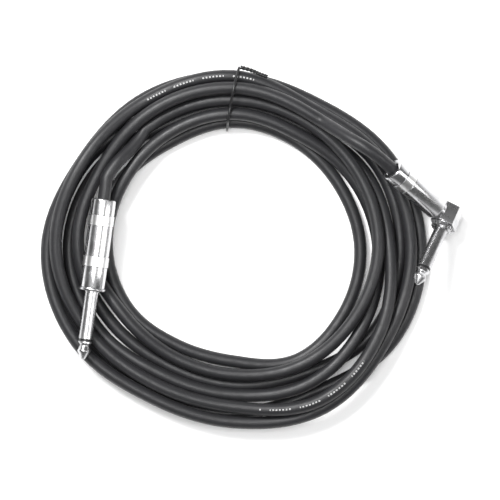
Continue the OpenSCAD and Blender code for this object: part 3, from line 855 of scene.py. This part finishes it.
@dataclass
class StraightPlug(PhonePlug):
    """The straight plug: a long shell screwed on a flanged sleeve contact."""

    shell_r: float = 5.7
    shell_len: float = 41.0
    shell_bore: float = 4.75
    flange_r: float = 6.1
    flange_t: float = 1.4
    collar_r: float = 3.5
    collar_t: float = 0.6

    def sleeve(self) -> bpy.types.Object:
        """Turns the sleeve contact, with its threaded spigot, flange and shaft."""
        low = self.shell_len - self.thread_len
        spigot = self.shell_bore - self.thread_gap
        profile = [(self.bore_r, low), (spigot - 0.3, low)]
        profile += self.thread_rings(spigot, low, int(self.thread_len - self.thread_pitch))
        top = self.shell_len + self.flange_t
        root = top + self.collar_t
        end = root + self.sleeve_len
        profile += [
            (spigot, self.shell_len - 0.3), (spigot, self.shell_len),
            (self.flange_r - 0.45, self.shell_len), (self.flange_r - 0.12, self.shell_len + 0.12),
            (self.flange_r, self.shell_len + 0.45), (self.flange_r, top - 0.55),
            (self.flange_r - 0.15, top - 0.2), (self.flange_r - 0.55, top),
            (self.collar_r, top), (self.collar_r, root - 0.15), (self.collar_r - 0.1, root),
            (self.shaft_r, root), (self.shaft_r, end - 0.12), (self.shaft_r - 0.12, end),
            (self.bore_r, end), (self.bore_r, low),
        ]
        piece = turned("straight_sleeve_contact", profile)
        smooth(piece)
        return settle(piece, self.axis.place(), SHAFT_NICKEL, "cable", "contact_nickel",
                      "straight_sleeve")

    def build(self) -> None:
        """Makes the straight plug's shell, sleeve, ring and tip."""
        shell = self.shell("straight_shell_knurled", self.shell_r, self.shell_len,
                           self.shell_bore, self.back, SHELL_BANDS)
        settle(shell, self.axis.place(), SHELL_NICKEL, "straight_turner", "shell_nickel",
               "straight_shell")
        self.sleeve()
        self.contacts(self.axis.place(), self.shell_len + self.flange_t + self.collar_t,
                      self.shell_len - self.thread_len)


@dataclass
class AnglePlug(PhonePlug):
    """The right-angle plug: a short barrel, a hexagonal head and a shaft across it."""

    barrel_r: float = 5.5
    barrel_len: float = 31.0
    barrel_bore: float = 4.45
    collar_r: float = 4.9
    collar_t: float = 1.7
    flats: float = 11.0
    head_h: float = 10.0
    neck_bore: float = 3.4
    head_bore: float = 4.1
    lock_r: float = 5.15
    lock_t: float = 1.9
    boss_r: float = 3.775
    seat: float = 3.6
    teeth: int = 20

    def head_mid(self) -> float:
        """How far the head's middle is from the barrel's rear."""
        return self.barrel_len + self.collar_t + self.flats / 2

    def shaft_place(self) -> Matrix:
        """Where the shaft's own axes lie: from the head's middle, across the barrel."""
        return (
            self.axis.place()
            @ Matrix.Translation((0, 0, self.head_mid() * MM))
            @ Matrix.Rotation(math.radians(-90), 4, "X")
        )

    def head(self) -> None:
        """Makes the hexagonal head, with its edges eased and a recess at each end."""
        deselect()
        corner = self.flats / math.cos(math.radians(30)) / 2
        bpy.ops.mesh.primitive_cylinder_add(vertices=6, radius=corner * MM,
                                            depth=self.head_h * MM)
        piece = bpy.context.object
        piece.name = "angle_head_block"
        bpy.ops.object.mode_set(mode="EDIT")
        bpy.ops.mesh.select_all(action="DESELECT")
        mesh = bmesh.from_edit_mesh(piece.data)
        for face in mesh.faces:
            face.select = abs(face.normal.z) > 0.9
        bmesh.update_edit_mesh(piece.data)
        bpy.ops.mesh.inset(thickness=0.45 * MM, depth=0.0, use_individual=True)
        bpy.ops.mesh.inset(thickness=0.5 * MM, depth=-0.35 * MM, use_individual=True)
        bpy.ops.object.mode_set(mode="OBJECT")
        soft = piece.modifiers.new("eased_edges", "BEVEL")
        soft.width = 0.32 * MM
        soft.segments = 3
        soft.limit_method = "ANGLE"
        soft.angle_limit = math.radians(25)
        take(piece)
        bpy.ops.object.modifier_apply(modifier=soft.name)
        smooth(piece, 35.0)
        flat_on = Matrix.Rotation(math.radians(30), 4, "Z")
        settle(piece, self.shaft_place() @ flat_on, HEAD_NICKEL, "cable", "head_nickel")

    def neck(self) -> None:
        """Turns the head's threaded neck and its bright collar."""
        low = self.barrel_len - self.thread_len
        radius = self.barrel_bore - self.thread_gap
        profile = [(self.neck_bore, low), (radius - 0.3, low)]
        profile += self.thread_rings(radius, low, int(self.thread_len - self.thread_pitch))
        top = self.barrel_len
        end = top + self.collar_t + 0.4
        profile += [
            (radius, top - 0.3), (radius, top), (self.collar_r - 0.3, top),
            (self.collar_r, top + 0.25), (self.collar_r, top + 0.6),
            (self.collar_r - 0.5, top + 1.0), (self.collar_r - 0.5, end),
            (self.neck_bore, end), (self.neck_bore, low),
        ]
        piece = turned("angle_head_neck", profile)
        smooth(piece)
        settle(piece, self.axis.place(), HEAD_NICKEL, "cable", "head_nickel", "angle_head")

    def lock_ring(self) -> None:
        """Turns the lock ring and cuts its teeth by drawing in every other pair of points."""
        low = self.head_h / 2
        inner = self.boss_r + 0.05
        top = low + self.lock_t
        sides = self.teeth * 4
        piece = turned("angle_toothed_ring", [
            (inner, low), (self.lock_r - 0.5, low), (self.lock_r, low + 0.3),
            (self.lock_r, top - 0.35), (self.lock_r - 0.5, top), (inner, top), (inner, low),
        ], sides)
        take(piece)
        bpy.ops.object.mode_set(mode="EDIT")
        mesh = bmesh.from_edit_mesh(piece.data)
        for vert in mesh.verts:
            away = math.hypot(vert.co.x, vert.co.y) / MM
            column = round(math.atan2(vert.co.y, vert.co.x) / (2 * math.pi / sides))
            vert.select = away > self.lock_r - 0.6 and column % 4 in (0, 1)
        mesh.select_flush_mode()
        bmesh.update_edit_mesh(piece.data)
        bpy.ops.transform.resize(value=(0.93, 0.93, 1), center_override=(0, 0, 0))
        bpy.ops.object.mode_set(mode="OBJECT")
        smooth(piece, 20.0)
        settle(piece, self.shaft_place(), HEAD_NICKEL, "cable", "head_nickel",
               "angle_lock_ring")

    def sleeve(self) -> None:
        """Turns the sleeve contact, seated in the head."""
        top = self.head_h / 2
        root = top + self.lock_t
        end = root + self.sleeve_len
        seat = self.head_bore - 0.05
        piece = turned("angle_sleeve_contact", [
            (self.bore_r, top - self.seat), (seat, top - self.seat), (seat, top - 0.1),
            (self.boss_r, top), (self.boss_r, root - 0.12), (self.boss_r - 0.15, root),
            (self.shaft_r, root), (self.shaft_r, end - 0.12), (self.shaft_r - 0.12, end),
            (self.bore_r, end), (self.bore_r, top - self.seat),
        ])
        smooth(piece)
        settle(piece, self.shaft_place(), SHAFT_NICKEL, "cable", "contact_nickel",
               "angle_sleeve")

    def build(self) -> None:
        """Makes the angle plug's barrel, neck, head, lock ring, sleeve, ring and tip."""
        barrel = self.shell("angle_barrel_knurled", self.barrel_r, self.barrel_len,
                            self.barrel_bore, self.back, BARREL_BANDS)
        settle(barrel, self.axis.place(), BARREL_NICKEL, "angle_turner", "shell_nickel",
               "angle_barrel")
        self.neck()
        self.head()
        self.lock_ring()
        self.sleeve()
        self.contacts(self.shaft_place(), self.head_h / 2 + self.lock_t,
                      self.head_h / 2 - self.seat)


@dataclass
class InnerPieces:
    """The CAD pieces inside the plugs, which keep their shape and get their finish."""

    finishes: dict[str, Finish] = field(default_factory=lambda: {
        "straight_core_end": CORE_PALE, "angle_core_end": CORE_PALE,
        "straight_wire_end": COPPER, "angle_wire_end": COPPER,
        "straight_shield_end": COPPER, "angle_shield_end": COPPER,
        "straight_liner": LINER_CLEAR, "angle_liner": LINER_CLEAR,
        "straight_back_insulator": WASHER, "angle_back_insulator": WASHER,
        "straight_tip_lug": BRASS, "angle_tip_lug": BRASS,
        "straight_clamp": BRASS, "angle_clamp": BRASS,
        "angle_cap": CAD_NICKEL,
    })

    def build(self) -> None:
        """Gives each node its finish."""
        for name, finish in self.finishes.items():
            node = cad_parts[name]
            node.data.materials.clear()
            node.data.materials.append(finish.material())
            LOG.info("%s: %s", name, finish.name)


# ---- the studio -------------------------------------------------------------------
@dataclass
class Lamp:
    """One soft lamp over the table."""

    name: str
    place: tuple[float, float, float]
    size: tuple[float, float]
    power: float

    def build(self) -> None:
        """Hangs the lamp and points it at the coil."""
        data = bpy.data.lights.new(self.name, "AREA")
        data.shape = "RECTANGLE"
        data.size, data.size_y = self.size
        data.energy = self.power
        lamp = bpy.data.objects.new(self.name, data)
        bpy.context.scene.collection.objects.link(lamp)
        lamp.location = self.place
        lamp.rotation_euler = (-Vector(self.place)).to_track_quat("-Z", "Y").to_euler()


@dataclass
class Studio:
    """A white table, soft lamps and a camera straight above."""

    camera_at: tuple[float, float] = (-0.86, -1.34)
    camera_high: float = 2500.0
    shown: float = 230.0
    aim_z: float = 9.0
    # How bright the room is: low round the table, between, and overhead
    wall: float = 0.9
    gap: float = 0.12
    roof: float = 0.6
    table_size: float = 6.0
    table_drop: float = 0.0002
    table_glow: float = 0.12
    lamps: tuple[Lamp, ...] = (
        Lamp("key_lamp", (-0.42, 0.5, 0.85), (0.3, 0.3), 14.0),
        Lamp("side_lamp", (0.7, -0.1, 0.6), (0.25, 0.7), 2.0),
        Lamp("top_lamp", (-0.1, 0.05, 1.3), (0.5, 0.5), 7.0),
    )

    def floor(self) -> None:
        """Lays the white table top, which keeps the cable's shadow."""
        deselect()
        bpy.ops.mesh.primitive_plane_add(size=self.table_size,
                                         location=(0, 0, -self.table_drop))
        table = bpy.context.object
        table.name = "table_top"
        made = bpy.data.materials.new("table_white")
        made.use_nodes = True
        tree = NodeTree(made.node_tree)
        shader = made.node_tree.nodes["Principled BSDF"]
        shader.inputs["Base Color"].default_value = (0.9, 0.9, 0.9, 1.0)
        shader.inputs["Roughness"].default_value = 0.9
        shader.inputs["Specular IOR Level"].default_value = 0.0
        rays = tree.add("ShaderNodeLightPath")
        seen = tree.math("MAXIMUM", rays.outputs["Is Camera Ray"], rays.outputs["Is Glossy Ray"])
        shader.inputs["Emission Color"].default_value = (1.0, 1.0, 1.0, 1.0)
        tree.join(tree.math("MULTIPLY", seen, self.table_glow), shader.inputs["Emission Strength"])
        table.data.materials.append(made)

    def sky(self) -> None:
        """Fills the room with pale light, brighter low down and overhead than between."""
        world = bpy.data.worlds.new("studio_room")
        bpy.context.scene.world = world
        world.use_nodes = True
        tree = NodeTree(world.node_tree)
        back = world.node_tree.nodes["Background"]
        back.inputs["Color"].default_value = (1.0, 1.0, 1.0, 1.0)
        way = tree.add("ShaderNodeTexCoord")
        split = tree.add("ShaderNodeSeparateXYZ")
        tree.join(way.outputs["Generated"], split.inputs[0])
        high = split.outputs["Z"]
        wall = tree.ramp(high, 0.1, 0.25, self.wall, self.gap)
        roof = tree.ramp(high, 0.7, 0.9, self.gap, self.roof)
        rays = tree.add("ShaderNodeLightPath")
        seen = tree.math("MAXIMUM", rays.outputs["Is Camera Ray"],
                         rays.outputs["Is Transmission Ray"])
        light = tree.math("MAXIMUM", wall, roof)
        tree.join(tree.math("MAXIMUM", light, seen), back.inputs["Strength"])

    def camera(self) -> None:
        """Hangs the camera over the coil, looking straight down."""
        data = bpy.data.cameras.new("view_from_above")
        data.sensor_width = 36.0
        data.lens = 36.0 * (self.camera_high - self.aim_z) / self.shown
        data.clip_end = 10.0
        camera = bpy.data.objects.new("view_from_above", data)
        bpy.context.scene.collection.objects.link(camera)
        camera.location = (self.camera_at[0] * MM, self.camera_at[1] * MM,
                           self.camera_high * MM)
        bpy.context.scene.camera = camera

    def build(self) -> None:
        """Sets up the whole studio."""
        self.camera()
        self.sky()
        self.floor()
        for lamp in self.lamps:
            lamp.build()
        bpy.context.scene.view_settings.view_transform = "Standard"


def main() -> None:
    """Builds the studio, then the cable piece by piece."""
    logging.basicConfig(level=logging.INFO, format="%(name)s %(message)s")
    Studio().build()
    Cord().build()
    TwistTie().build()
    StraightPlug("straight", STRAIGHT_AXIS).build()
    AnglePlug("angle", ANGLE_AXIS).build()
    InnerPieces().build()


if __name__ == "__main__":
    main()
